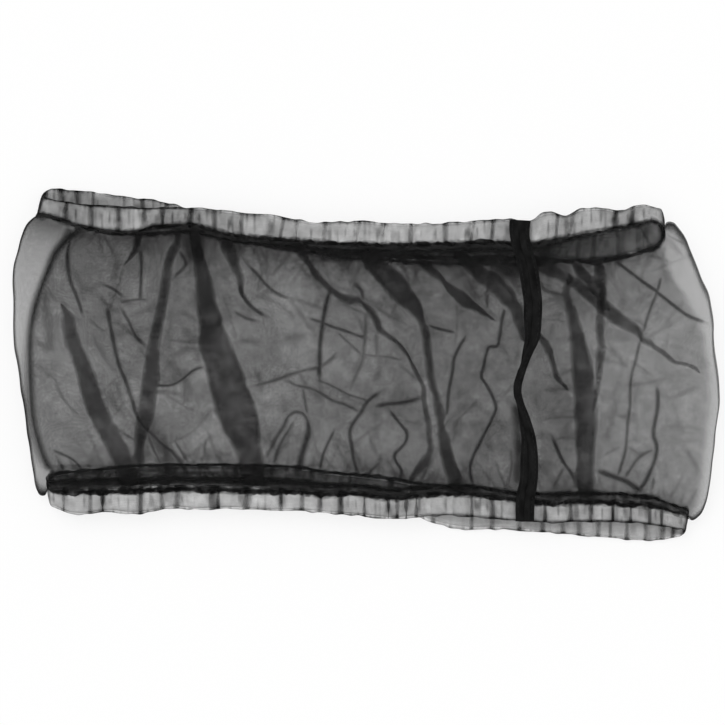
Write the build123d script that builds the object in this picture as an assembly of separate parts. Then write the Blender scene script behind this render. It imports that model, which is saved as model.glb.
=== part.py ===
"""Beekeeping veil: a tube of fine black net with a gathered elastic rim at each end, laid flat.

The veil lies on its back on the table, z = 0. X runs across it, along the rims, and Y runs from
the lower rim to the upper one. The origin is under its middle. All sizes are in millimetres.

One panel of net is closed into a tube by a side seam, which is bound with a black tape. Each end of
the tube is folded over a loop of flat white elastic. A gathering seam closes that casing, and the net
that it draws in stands on the casing in tucks. Head and hat go in through one rim and out of the other.
"""
from build123d import *
import os

# --- driving dimensions -------------------------------------------------------------------------
VEIL_WIDTH = 632.0          # across the net at half height, the tube folded flat
RIM_WIDTH = 572.0           # across a rim at rest, the elastic slack
RIM_REACH = 147.0           # from the middle of the veil to a rim's outer edge, at the rim's two ends
RIM_WAIST = 14.0            # how far a rim's middle is drawn in from the line between its ends

NET_PLY = 0.8               # a ply of gathered net
NET_WALL = 1.0              # the tube's net with its fine gathers
BODY_LOFT = 29.0            # how high the crumpled net stands between the rims, its deep folds left out
SHOULDER_SHARE = 0.6        # where the net reaches its shoulder, as a share of the way to a rim
SHOULDER_EASE = 13.0        # how much narrower the net is at its shoulders than at half height
SHOULDER_DIP = 3.0          # how much lower the net stands at its shoulders than at half height
NET_INSET = 0.5             # how far the net's outside lies under the outside of a rim
NET_LIFT = 0.4              # how far the net between the rims stays off the table
FOLD_WIDTH = 34.0           # the widest of the deep folds that the gathers draw up in the net
FOLD_HEIGHT = 3.4           # how far a deep fold stands off the net
FOLD_END_SHARE = 0.35       # how much of that height is left where a fold ends

CASING_WIDTH = 22.0         # from the gathering seam to a rim's outer edge
MOUTH_GAP = 12.0            # between the two halves of a flattened rim
ELASTIC_WIDTH = 18.0
ELASTIC_THICKNESS = 1.2
ELASTIC_SLACK = 0.15        # between the elastic and the casing's outer ply
LAP_LENGTH = 25.0           # the elastic's two ends overlap by this much
TACK_THICKNESS = 0.3        # thread of the bar tacks that close the elastic
TACK_WIDTH = 1.6
TACK_PITCH = 9.0
TACK_COUNT = 3

SEAM_LINE_WIDTH = 6.0       # the bunched net of a gathering seam
TUCK_PITCH = 20.0           # from one tuck of the gathered casing to the next
TUCK_RADIUS = 2.2
TUCK_HEIGHT = 1.2           # how far a tuck stands off the casing

TAPE_WIDTH = 18.0           # the binding of the side seam
TAPE_THICKNESS = 1.2
TAPE_PLACE = 141.0          # from the middle of the veil to the middle of the tape
STITCH_LENGTH = 4.5
STITCH_PITCH = 7.0
STITCH_WIDTH = 0.8
STITCH_THICKNESS = 0.4
STITCH_MARGIN = 2.6         # from the tape's edge to the middle of a stitch row

# --- worked-out sizes ---------------------------------------------------------------------------
ELASTIC_ROOM = 2 * ELASTIC_THICKNESS + 2 * ELASTIC_SLACK + TACK_THICKNESS
CASING_THICKNESS = 2 * NET_PLY + ELASTIC_ROOM
RIM_HEIGHT = 2 * CASING_THICKNESS + MOUTH_GAP
CASING_START = RIM_REACH - CASING_WIDTH
NET_END = CASING_START - SEAM_LINE_WIDTH
LOFT_END = NET_END - RIM_WAIST
SHOULDER_WIDTH = VEIL_WIDTH - SHOULDER_EASE
SHOULDER_LOFT = BODY_LOFT - SHOULDER_DIP
ELASTIC_START = CASING_START + (CASING_WIDTH - ELASTIC_WIDTH) / 2
WAIST_RADIUS = ((RIM_WIDTH / 2) ** 2 + RIM_WAIST ** 2) / (2 * RIM_WAIST)
PAST = 5.0                  # how far a cutting body runs past what it cuts
PAST_WAIST = NET_END - LOFT_END + PAST

# The deep folds in the upper half of the net, each where it crosses the five stations of the tube's
# outline, from the lower seam to the upper one: its place as a share of half the veil's width, and its
# width as a share of FOLD_WIDTH. None is a station that the fold doesn't reach.
FOLDS = [
    [(-0.67, 0.5), (-0.73, 0.6), (-0.81, 0.55), (-0.86, 0.25), None],
    [(-0.31, 0.7), (-0.35, 1.0), (-0.41, 1.0), (-0.46, 0.6), (-0.49, 0.35)],
    [(0.14, 0.25), (0.18, 0.3), (0.12, 0.3), (-0.09, 0.3), (-0.21, 0.35)],
    [(0.27, 0.5), (0.24, 0.4), (0.19, 0.3), (0.07, 0.35), (-0.03, 0.35)],
    [None, None, (0.54, 0.25), (0.38, 0.5), (0.24, 0.4)],
    [(0.64, 0.45), (0.63, 0.55), (0.61, 0.6), (0.58, 0.3), None],
    [None, None, (0.93, 0.2), (0.65, 0.55), (0.45, 0.3)],
]


def flat_oval(width, height, y, bottom):
    """The outline of a flattened tube at one y: two straight runs joined by half circles."""
    plane = Plane(origin=(0, y, bottom + height / 2), x_dir=(1, 0, 0), z_dir=(0, 1, 0))
    return plane * SlotOverall(width, height)


def rim_bar(depth):
    """A bar along Y with the outline of the rim, its sides taken in by depth."""
    start = NET_END - RIM_WAIST
    outline = flat_oval(RIM_WIDTH - 2 * depth, RIM_HEIGHT - 2 * depth, start, depth)
    return extrude(outline, amount=RIM_REACH - start + PAST)


def waist_body(end):
    """Everything past a waisted line across the veil. The line meets y = end at the rim's two ends."""
    middle = end - RIM_WAIST + WAIST_RADIUS
    height = BODY_LOFT + 4 * PAST
    return Pos(0, middle, height / 2 - PAST) * Cylinder(WAIST_RADIUS, height)


def between(shape, start, end):
    """The stretch of a shape between two waisted lines."""
    return shape & (waist_body(start) - waist_body(end))


def both_rims(shape):
    """A shape of the upper rim, and its copy at the lower one."""
    return {"top": shape, "bottom": mirror(shape, about=Plane.XZ)}


def tube_stations():
    """Where the tube's outline is set along Y: place, width, height and how far it is off the table."""
    seam = (RIM_WIDTH - 2 * NET_INSET, RIM_HEIGHT - 2 * NET_INSET, NET_INSET)
    shoulder = (SHOULDER_WIDTH, SHOULDER_LOFT - NET_LIFT, NET_LIFT)
    return [
        (-LOFT_END, *seam),
        (-LOFT_END * SHOULDER_SHARE, *shoulder),
        (0, VEIL_WIDTH, BODY_LOFT - NET_LIFT, NET_LIFT),
        (LOFT_END * SHOULDER_SHARE, *shoulder),
        (LOFT_END, *seam),
    ]


def tube_body(growth):
    """The tube's outside as one solid body, grown by growth all round."""
    outlines = [
        flat_oval(width + 2 * growth, height + 2 * growth, y, bottom - growth)
        for y, width, height, bottom in tube_stations()
    ]
    middle = loft(outlines)
    end = extrude(outlines[-1], amount=PAST_WAIST)
    return middle + end + mirror(end, about=Plane.XZ)


def fold_outline(station, place, width, height):
    """A fold's outline where it crosses a station: an arch on the net, its lower part sunk in the tube."""
    y, _, net_height, bottom = station
    middle = (place * VEIL_WIDTH / 2, y, bottom + net_height - height)
    plane = Plane(origin=middle, x_dir=(1, 0, 0), z_dir=(0, 1, 0))
    return plane * Ellipse(width * FOLD_WIDTH / 2, 2 * height)


def fold(crossings):
    """One deep fold. It follows the tube over the stations that it reaches, and is low at its ends."""
    met = [(station, crossing) for station, crossing in zip(tube_stations(), crossings) if crossing]
    outlines = []
    for i, (station, (place, width)) in enumerate(met):
        at_end = i in (0, len(met) - 1)
        height = FOLD_HEIGHT * FOLD_END_SHARE if at_end else FOLD_HEIGHT
        outlines.append(fold_outline(station, place, width, height))
    body = loft(outlines)
    if crossings[0]:
        body = body + extrude(outlines[0], amount=-PAST_WAIST)
    if crossings[-1]:
        body = body + extrude(outlines[-1], amount=PAST_WAIST)
    return body


def inside_net_ends(shape):
    """The stretch of a shape between the two gathering seams."""
    past_end = waist_body(NET_END)
    return shape - past_end - mirror(past_end, about=Plane.XZ)


def tape_column():
    """The strip of space over the side seam, from the rim's middle height upwards."""
    height = BODY_LOFT + 2 * PAST
    return Pos(TAPE_PLACE, 0, RIM_HEIGHT / 2 + height / 2) * Box(
        TAPE_WIDTH, 2 * (RIM_REACH + PAST), height
    )


# --- the pieces ---------------------------------------------------------------------------------
def net_tube():
    """The panel of net, closed into a tube and open at both ends. The tape holds its folds down."""
    folds = [fold(crossings) - tape_column() for crossings in FOLDS]
    return inside_net_ends(tube_body(0) + folds - tube_body(-NET_WALL))


def tuck_places():
    """Where the tucks stand across a rim. The side seam's tape needs its own place clear."""
    flat_run = RIM_WIDTH - RIM_HEIGHT - 2 * TUCK_RADIUS
    count = int(flat_run / TUCK_PITCH) + 1
    places = [(i - (count - 1) / 2) * TUCK_PITCH for i in range(count)]
    clear = TAPE_WIDTH / 2 + TUCK_RADIUS
    return [x for x in places if abs(x - TAPE_PLACE) > clear]


def casing():
    """The folded net round the elastic, with the tucks that the gathering draws up on its face."""
    wall = rim_bar(0) - rim_bar(CASING_THICKNESS)
    start = NET_END - RIM_WAIST
    length = RIM_REACH - start + PAST
    tuck = Pos(0, start + length / 2, RIM_HEIGHT + TUCK_HEIGHT - TUCK_RADIUS) * Rot(90, 0, 0) * Cylinder(
        TUCK_RADIUS, length
    )
    outer_half = Pos(0, start + length / 2, RIM_HEIGHT + PAST / 2 - NET_PLY / 2) * Box(
        RIM_WIDTH, length, PAST + NET_PLY
    )
    tucks = [Pos(x, 0, 0) * tuck for x in tuck_places()]
    wall = wall + [piece & outer_half for piece in tucks]
    body = between(wall, CASING_START, RIM_REACH)
    room = rim_bar(NET_PLY) - rim_bar(CASING_THICKNESS - NET_PLY)
    return body - between(room, CASING_START + NET_PLY, RIM_REACH - NET_PLY)


def lap_box(length, depth, thickness, place=0.0):
    """A plate inside the upper half of the rim, centred on the side seam and depth under its face."""
    return Pos(TAPE_PLACE + place, RIM_REACH, RIM_HEIGHT - depth - thickness / 2) * Box(
        length, 4 * RIM_REACH, thickness
    )


def elastic():
    """The loop of flat elastic, its two ends lapped under the side seam."""
    outer = NET_PLY + ELASTIC_SLACK
    band = rim_bar(outer) - rim_bar(outer + ELASTIC_THICKNESS)
    lap = lap_box(LAP_LENGTH, outer + ELASTIC_THICKNESS, ELASTIC_THICKNESS) & rim_bar(0)
    return between(band + lap, ELASTIC_START, ELASTIC_START + ELASTIC_WIDTH)


def elastic_tacks():
    """The rows of thread across the lap that hold the elastic's ends together."""
    depth = NET_PLY + ELASTIC_SLACK + 2 * ELASTIC_THICKNESS
    margin = (ELASTIC_WIDTH - 2 * TACK_PITCH) / 2
    rows = []
    for i in range(TACK_COUNT):
        place = (i - (TACK_COUNT - 1) / 2) * TACK_PITCH
        row = lap_box(TACK_WIDTH, depth, TACK_THICKNESS, place) & rim_bar(0)
        start = ELASTIC_START + TACK_WIDTH + margin
        rows.append(between(row, start, ELASTIC_START + ELASTIC_WIDTH - TACK_WIDTH - margin))
    return Compound(children=[solid for row in rows for solid in row.solids()])


def gathering_seam():
    """The line of stitching that closes the casing, with the net bunched in it."""
    ring = rim_bar(0) - rim_bar(CASING_THICKNESS)
    return between(ring, NET_END, CASING_START)


def side_seam_tape():
    """The binding over the tube's closing seam, from one rim's outer edge to the other's."""
    column = tape_column()
    over_net = inside_net_ends(tube_body(TAPE_THICKNESS) & column) - tube_body(0)
    over_rim = between((rim_bar(-TAPE_THICKNESS) - rim_bar(0)) & column, NET_END, RIM_REACH)
    return over_net + over_rim + mirror(over_rim, about=Plane.XZ)


def side_seam_stitches():
    """Two rows of thread along the tape, each stitch lying on its face."""
    run = 2 * (LOFT_END - STITCH_LENGTH)
    count = int(run / STITCH_PITCH) + 1
    row_place = TAPE_WIDTH / 2 - STITCH_MARGIN
    height = BODY_LOFT + 2 * PAST
    plans = []
    for side in (-1, 1):
        for i in range(count):
            y = (i - (count - 1) / 2) * STITCH_PITCH
            place = Pos(TAPE_PLACE + side * row_place, y, RIM_HEIGHT / 2 + height / 2)
            plans.append(place * Box(STITCH_WIDTH, STITCH_LENGTH, height))
    over_seam = tube_body(TAPE_THICKNESS + STITCH_THICKNESS) & tape_column()
    skin = over_seam - tube_body(TAPE_THICKNESS)
    return Compound(children=[solid for plan in plans for solid in (skin & plan).solids()])


def write(name, shape):
    export_step(shape, f"parts/{name}.step")


def main():
    os.makedirs("parts", exist_ok=True)
    write("net_tube", net_tube())
    for piece, shape in (
        ("casing", casing()),
        ("elastic", elastic()),
        ("elastic_tacks", elastic_tacks()),
        ("gathering_seam", gathering_seam()),
    ):
        for end, made in both_rims(shape).items():
            write(f"{end}_{piece}", made)
    write("side_seam_tape", side_seam_tape())
    write("side_seam_stitches", side_seam_stitches())


main()
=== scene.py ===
"""The look of the beekeeping veil: black net, two gathered rims over white elastic, a bound side seam.

The veil lies on its back on a white table and is seen from straight above. Places are written in
millimetres in the view's own axes, x to the right and y up, because that is how the net was laid.
The veil lies turned by LIE_ANGLE in that view, and laid() turns a place into the part's axes.
"""
import math
from collections import namedtuple

import bpy
import numpy as np
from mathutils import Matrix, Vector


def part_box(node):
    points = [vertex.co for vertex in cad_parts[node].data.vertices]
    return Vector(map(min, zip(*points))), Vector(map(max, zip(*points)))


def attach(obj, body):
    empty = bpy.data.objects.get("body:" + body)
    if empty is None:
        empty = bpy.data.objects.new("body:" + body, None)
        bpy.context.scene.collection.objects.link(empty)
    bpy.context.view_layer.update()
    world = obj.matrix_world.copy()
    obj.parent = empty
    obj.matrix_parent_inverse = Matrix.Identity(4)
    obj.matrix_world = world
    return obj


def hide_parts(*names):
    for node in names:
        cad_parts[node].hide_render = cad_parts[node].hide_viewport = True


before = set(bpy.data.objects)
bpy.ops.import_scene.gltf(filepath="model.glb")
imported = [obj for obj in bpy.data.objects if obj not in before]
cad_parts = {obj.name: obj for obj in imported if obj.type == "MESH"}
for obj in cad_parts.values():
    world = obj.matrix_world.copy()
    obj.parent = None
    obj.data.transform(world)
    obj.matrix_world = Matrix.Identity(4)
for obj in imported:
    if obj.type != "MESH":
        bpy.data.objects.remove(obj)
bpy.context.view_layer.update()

MM = 0.001
LIE_ANGLE = math.radians(2.0)

# Heights in the part, in millimetres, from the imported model.
RIM_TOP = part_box("top_gathering_seam")[1][2] / MM
NET_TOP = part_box("net_tube")[1][2] / MM
HALF_HEIGHT = RIM_TOP / 2
FRONT_LEVEL = RIM_TOP - 2.4  # middle of the front half of a rim
BACK_LEVEL = 3.2             # middle of the back half of a rim
MID_LEVEL = (FRONT_LEVEL + BACK_LEVEL) / 2
NET_LEVEL = RIM_TOP - 1.6    # the front net where it leaves a seam
FLOOR_GAP = 0.6              # the back net over the table

# Sizes of the net and the casings, in millimetres.
CASING_HALF = 1.7            # half the thickness of a casing with its elastic
CASING_DEPTH = 22            # a casing from its seam to its outer edge
NET_SPAN = 610               # the net from one side of a rim to the other
THREAD_PITCH = 0.6

# How much of the net's area a thread grid covers: one ply of loose net is density 1.
LOOSE_COVER = 0.1307
LEAST_COVER = 0.02
MOST_COVER = 0.93
THREAD_SHARE = 0.35          # how much of the net's cover is drawn as threads; the rest is their fuzz
NET_GREY = 0.008


# --- lines and small sums -----------------------------------------------------------------------
def smooth(value):
    """0 below 0, 1 above 1, and an even rise between."""
    share = np.clip(value, 0.0, 1.0)
    return share * share * (3 - 2 * share)


def through(at, values, where):
    """A smooth curve through values given at rising places."""
    at = np.asarray(at, float)
    values = np.asarray(values, float)
    slopes = np.gradient(values, at)
    i = np.clip(np.searchsorted(at, where) - 1, 0, len(at) - 2)
    span = at[i + 1] - at[i]
    u = np.clip((where - at[i]) / span, 0.0, 1.0)
    start = (2 * u + 1) * (1 - u) ** 2 * values[i] + u * (1 - u) ** 2 * span * slopes[i]
    end = u * u * (3 - 2 * u) * values[i + 1] + u * u * (u - 1) * span * slopes[i + 1]
    return start + end


def lengths(line):
    """How far along a line each of its places is."""
    gaps = np.linalg.norm(np.diff(line, axis=0), axis=1)
    return np.concatenate([[0.0], np.cumsum(gaps)])


def unit(vectors):
    return vectors / np.linalg.norm(vectors, axis=-1, keepdims=True)


def left_of(line):
    """The direction to the left of a line, at each of its places."""
    run = unit(np.gradient(line[:, :2], axis=0))
    return np.stack([-run[:, 1], run[:, 0]], axis=1)


def route(places, step=2.0):
    """A smooth line through given places, evenly stepped. A third column, a width, comes along."""
    places = np.array(places, float)
    at = lengths(places[:, :2])
    where = np.linspace(0, at[-1], max(3, int(at[-1] / step) + 1))
    return np.stack([through(at, column, where) for column in places.T], axis=1)


def laid(places):
    """Places in the view, in mm, as places in the part's axes, in metres."""
    x, y, z = places[..., 0], places[..., 1], places[..., 2]
    c, s = math.cos(LIE_ANGLE), math.sin(LIE_ANGLE)
    return np.stack([c * x - s * y, s * x + c * y, z], axis=-1) * MM


def beside(points, line):
    """Distance to the left of a line, the share of the way along it, and how far past its ends."""
    start = line[:-1, :2]
    run = line[1:, :2] - start
    length = np.linalg.norm(run, axis=1)
    away = points[:, None, :] - start[None]
    share = (away * run).sum(-1) / length ** 2
    held = np.clip(share, 0, 1)
    off = away - held[..., None] * run
    nearest = np.argmin((off ** 2).sum(-1), axis=1)
    rows = np.arange(len(points))
    run, away = run[nearest], away[rows, nearest]
    left = (run[:, 0] * away[:, 1] - run[:, 1] * away[:, 0]) / length[nearest]
    over = (share - held)[rows, nearest] * length[nearest]
    return left, (nearest + held[rows, nearest]) / len(start), np.abs(over)


def drift(x, y, size, seed):
    """Soft random hills between -1 and 1, the same on each run."""
    rows, columns = 97, 89
    table = np.random.default_rng(seed).uniform(-1, 1, (rows, columns))
    u, v = np.asarray(x) / size + 40.0, np.asarray(y) / size + 40.0
    i, j = np.floor(u).astype(int), np.floor(v).astype(int)
    fu, fv = smooth(u - i), smooth(v - j)

    def at(a, b):
        return table[(i + a) % rows, (j + b) % columns]

    low = at(0, 0) * (1 - fu) + at(1, 0) * fu
    high = at(0, 1) * (1 - fu) + at(1, 1) * fu
    return low * (1 - fv) + high * fv


def cover_of(density):
    """The share of the thread pitch that a thread takes up, for a density."""
    return np.clip(1 - np.exp(-LOOSE_COVER * density), LEAST_COVER, MOST_COVER)


def hump(distance, reach):
    """1 in the middle, falling away evenly to both sides."""
    return np.exp(-(distance / reach) ** 2)


# --- the lie of the veil ------------------------------------------------------------------------
# Middle of each gathered seam, with half the width of its bunched net: x, y, half width.
TOP_FRONT_SEAM = [
    (-286, 135, 2.5), (-276, 131, 2), (-256, 125, 2), (-240, 121.5, 2.2), (-213, 119, 2.8),
    (-200, 121, 4.4), (-180, 123, 5.5), (-160, 123.5, 5.5), (-140, 120, 5), (-122, 115.5, 4.5),
    (-100, 113, 4.5), (-60, 110, 5), (-24, 107, 5), (30, 106, 5), (80, 107.5, 5), (120, 108, 5),
    (147, 108, 4), (175, 113, 3.2), (200, 118.5, 2.6), (225, 123.5, 2.4), (245, 127.5, 2.4),
    (256, 130, 2.6),
]
TOP_BACK_SEAM = [
    (-284, 138, 3), (-276, 138, 3), (-213, 132, 3), (-150, 122, 3), (-100, 112, 3.5),
    (-60, 106, 4), (-24, 101, 4), (30, 97, 4.5), (102, 95, 4.5), (147, 95, 4), (175, 95.5, 3.5),
    (210, 95, 3), (230, 98, 3), (248, 103, 3), (256, 106, 3),
]
BOTTOM_FRONT_SEAM = [
    (-280, -109, 6), (-270, -109, 6.5), (-240, -108.3, 7), (-200, -107.8, 7), (-170, -106.5, 7),
    (-140, -107, 7), (-100, -108, 7), (-60, -109.3, 6.8), (-40, -111.5, 7), (-20, -111, 6),
    (0, -112, 5.5), (20, -115, 6), (40, -114, 5.5), (60, -112, 5.5), (84, -112, 5.5),
    (110, -114, 5), (130, -117, 5), (160, -119.5, 6), (200, -118.5, 6), (240, -121, 6.5),
    (260, -123, 6), (275, -128, 5), (281, -130, 4.5),
]
BOTTOM_BACK_SEAM = [
    (-280, -98, 2.5), (-270, -96.5, 2), (-255, -94.5, 2), (-240, -93.5, 2), (-222, -91.5, 2),
    (-200, -90, 1.8), (-160, -89.5, 1.8), (-120, -89.5, 2), (-100, -90, 2), (-60, -92, 2),
    (-40, -95.5, 2), (-15, -98, 2), (0, -99.5, 2), (20, -101.5, 2.5), (40, -105, 3),
    (55, -108, 3), (80, -112, 3), (110, -117, 3), (150, -126, 3), (200, -132, 3), (246, -135, 3),
    (281, -139, 3),
]
# The outer edge of each casing.
TOP_FRONT_EDGE = [
    (-286, 150.5), (-270, 148), (-255, 146), (-240, 144.5), (-220, 143.5), (-200, 142.5),
    (-170, 142.5), (-155, 142.5), (-140, 141.5), (-120, 139), (-100, 137.5), (-85, 136.5),
    (-75, 134.5), (-60, 131.3), (-45, 129), (-30, 129.8), (0, 130), (25, 128), (45, 128),
    (80, 129.3), (100, 131), (127, 132.5), (150, 132.5), (155, 136), (165, 139), (180, 136),
    (190, 140.5), (205, 142), (215, 141.5), (225, 139.5), (240, 143.5), (250, 145), (256, 143.5),
]
TOP_BACK_EDGE = [
    (-284, 160.5), (-262, 159), (-248, 157.5), (-230, 155), (-200, 151), (-185, 149),
    (-168, 144.5), (-150, 139), (-120, 134), (-80, 127), (-30, 120), (30, 117), (100, 115),
    (150, 115), (200, 119), (225, 124), (245, 129), (256, 131),
]
BOTTOM_FRONT_EDGE = [
    (-280, -127), (-270, -132), (-257, -134), (-230, -131), (-215, -133), (-190, -131),
    (-180, -128.5), (-150, -129.5), (-120, -128.5), (-85, -130.5), (-60, -130.5), (-30, -133),
    (0, -135.5), (25, -137.5), (40, -136.5), (60, -135), (84, -135), (100, -136.5), (130, -139),
    (160, -141), (220, -140), (250, -142), (281, -147),
]
BOTTOM_BACK_EDGE = [
    (-280, -114), (-255, -113), (-200, -109), (-100, -110), (-40, -116), (0, -122), (25, -131),
    (50, -138), (60, -142), (75, -146), (90, -148), (130, -148), (150, -150), (190, -153),
    (210, -155), (265, -157), (281, -154),
]
# Where the rims' two ends reach to: seam x, edge x, at the left and at the right.
TOP_ENDS = ((-296, -291), (268, 266.5))
BOTTOM_ENDS = ((-287, -285), (289, 286))
# The folded sides of the net, from the upper rim to the lower.
LEFT_SIDE = [
    (-296, 136.5), (-300, 134), (-305.5, 129), (-311.5, 116), (-314.5, 104), (-318, 91), (-319, 78),
    (-318.2, 60), (-318.2, 30), (-317.2, 15), (-314.8, 3), (-312.8, -10), (-311.6, -22),
    (-309, -35), (-307.2, -48), (-306, -60), (-303.7, -73), (-302, -86), (-300, -98),
    (-297.3, -111), (-294, -116), (-290, -116), (-287.5, -110), (-287, -103),
]
RIGHT_SIDE = [
    (268, 118), (268.5, 124), (270.5, 129), (276.3, 129), (282, 123), (287, 116), (292, 104),
    (297.4, 91), (302.3, 78), (308, 66), (310.7, 53), (312.6, 40), (312.6, 28), (313.5, 15),
    (315.3, 3), (317, -10), (317.8, -22), (318, -35), (316.2, -48), (314.5, -60), (313.5, -73),
    (311.8, -86), (310.6, -98), (308.8, -111), (306.2, -123), (300, -135), (293, -139),
    (289, -134.5),
]
# The fold inside the left side. Between it and the side lies a single loose turn of net.
LEFT_INNER_FOLD = [
    (-262, 121), (-270, 113), (-279, 102), (-286, 85), (-292, 70), (-297, 55), (-300, 40),
    (-302, 20), (-302, 0), (-301, -30), (-300, -45), (-297, -60), (-293.5, -72), (-289, -85),
    (-284, -94),
]

# Pleats in the net, as wide as they show: x, y, width. First those in the front half.
FRONT_PLEATS = [
    [(-271, 58, 1), (-268, 48, 5), (-260, 15, 12), (-254, 0, 14), (-248, -20, 16), (-241, -40, 17),
     (-234, -55, 16), (-227, -70, 15), (-219, -86, 14), (-214, -105, 13)],
    [(-156, 124, 7), (-153, 112, 8), (-147, 80, 13), (-140, 40, 20), (-129, 0, 30),
     (-120, -30, 34), (-112, -55, 32), (-105, -80, 22), (-101, -105, 19)],
    [(-63, 110, 9), (-60, 103, 9), (-52, 92, 9), (-45, 82, 9), (-38, 74, 8), (-31, 67, 6),
     (-25, 62, 5), (-15, 57, 5), (-5, 55, 5), (2, 50, 6), (8, 42, 6), (12, 33, 6), (18, 27, 6),
     (28, 20, 6), (33, 12, 5.5), (40, 2, 5), (45, -8, 4), (50, -20, 4), (52, -35, 3.8), (54, -50, 3.8),
     (56, -65, 4), (57, -75, 5), (52, -85, 6), (47, -92, 5), (40, -103, 4)],
    [(3, 99, 15), (8, 91, 16), (16, 83, 18), (24, 75, 20), (31, 67, 19), (37, 60, 17), (42, 53, 13),
     (46, 46, 9), (50, 38, 7), (53, 30, 6), (55, 15, 6), (57, 0, 6), (59, -15, 6), (62, -25, 6),
     (64, -38, 7), (66, -52, 8.5), (69, -66, 10), (72.5, -80, 11), (76, -92, 12), (83, -115, 12)],
    [(48, 97, 6), (55, 87, 8), (65, 79, 9), (80, 65, 10), (92, 54, 9), (103, 47, 6), (112, 41, 2)],
    [(84, 99, 10), (93, 91, 12), (105, 80, 13), (115, 70, 14), (126, 59, 14), (132.5, 50, 15),
     (135, 39, 13), (140, 26, 7)],
    [(146, 98, 8), (158, 90, 11), (172, 82, 9), (186, 74, 8), (201, 62, 12), (211, 54, 14),
     (221, 46, 13), (233, 37, 11), (244, 29, 8), (248, 24, 6), (255, 20, 5), (262, 14, 4),
     (270, 8, 4), (276, 3, 4), (285, 1, 4), (295, -3, 3), (301, -9, 1)],
    [(176, 80, 1), (179, 66, 5), (184, 46, 9), (188, 30, 12), (191, 16, 15), (193, 0, 17),
     (196, -30, 20), (196, -60, 18), (196, -80, 16), (196, -115, 13)],
    [(150, 36, 3), (155, 28, 8), (161, 17, 8), (166, 3, 7), (171, -9, 6), (176, -17, 4),
     (182, -25, 1)],
    [(-202, 122, 9), (-205, 112, 9), (-209, 102, 6), (-213, 94, 3), (-218, 88, 1)],
]
# Pleats in the back half, which show through the front.
BACK_PLEATS = [
    [(-168, 125, 5), (-172, 113, 5), (-177, 100, 7), (-184, 60, 8), (-192, 20, 10), (-194, 0, 14.5),
     (-197, -25, 14), (-200, -45, 14), (-204, -60, 11), (-206, -78, 10), (-207, -98, 10)],
    [(182, 99, 7), (190, 90, 8), (200, 78, 9), (208, 68, 9), (215, 58, 6), (220, 50, 2)],
    [(209, 99, 7), (212, 80, 7), (213, 65, 7), (212, 50, 7), (211, 35, 7), (212, 20, 7),
     (211, 5, 6), (210, -10, 5), (208, -25, 4), (205, -42, 2)],
    [(-128, 120, 12), (-125, 106, 11), (-120, 93, 8), (-116, 82, 6), (-112, 66, 4)],
]

# How dense one half of the net lies: x, density. Then broad patches: x, y, reach each way, more.
GROUND = [(-310, 3.1), (-100, 3.1), (-60, 3.05), (-20, 3.3), (30, 3.6), (100, 3.6), (170, 3.6),
          (195, 3.45), (215, 3.0), (250, 2.75), (275, 2.5), (310, 2.25)]
PATCHES = [(-190, 60, 80, 50, 0.5), (-80, 62, 28, 22, -0.5), (-215, -30, 40, 30, 0.2),
           (170, -50, 16, 50, 0.3), (-16, 60, 20, 20, 0.3), (-155, 108, 8, 17, 4.0),
           (-268, 124, 14, 7, 2.5), (-200, 108, 12, 12, 1.0), (-203, -62, 9, 16, 1.0),
           (22, 90, 14, 8, -0.8), (-50, 86, 14, 14, 0.9), (-138, 92, 14, 14, 0.6),
           (-262, 40, 18, 30, -0.25), (128, 86, 10, 7, 1.8)]

# How dense the single turn of net lies outside the left fold: y, density. Then along the right side.
LEFT_TONE = [(-110, 1.65), (0, 1.55), (40, 1.55), (80, 1.7), (110, 1.95), (135, 2.5)]
RIGHT_TONE = 1.45

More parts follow.
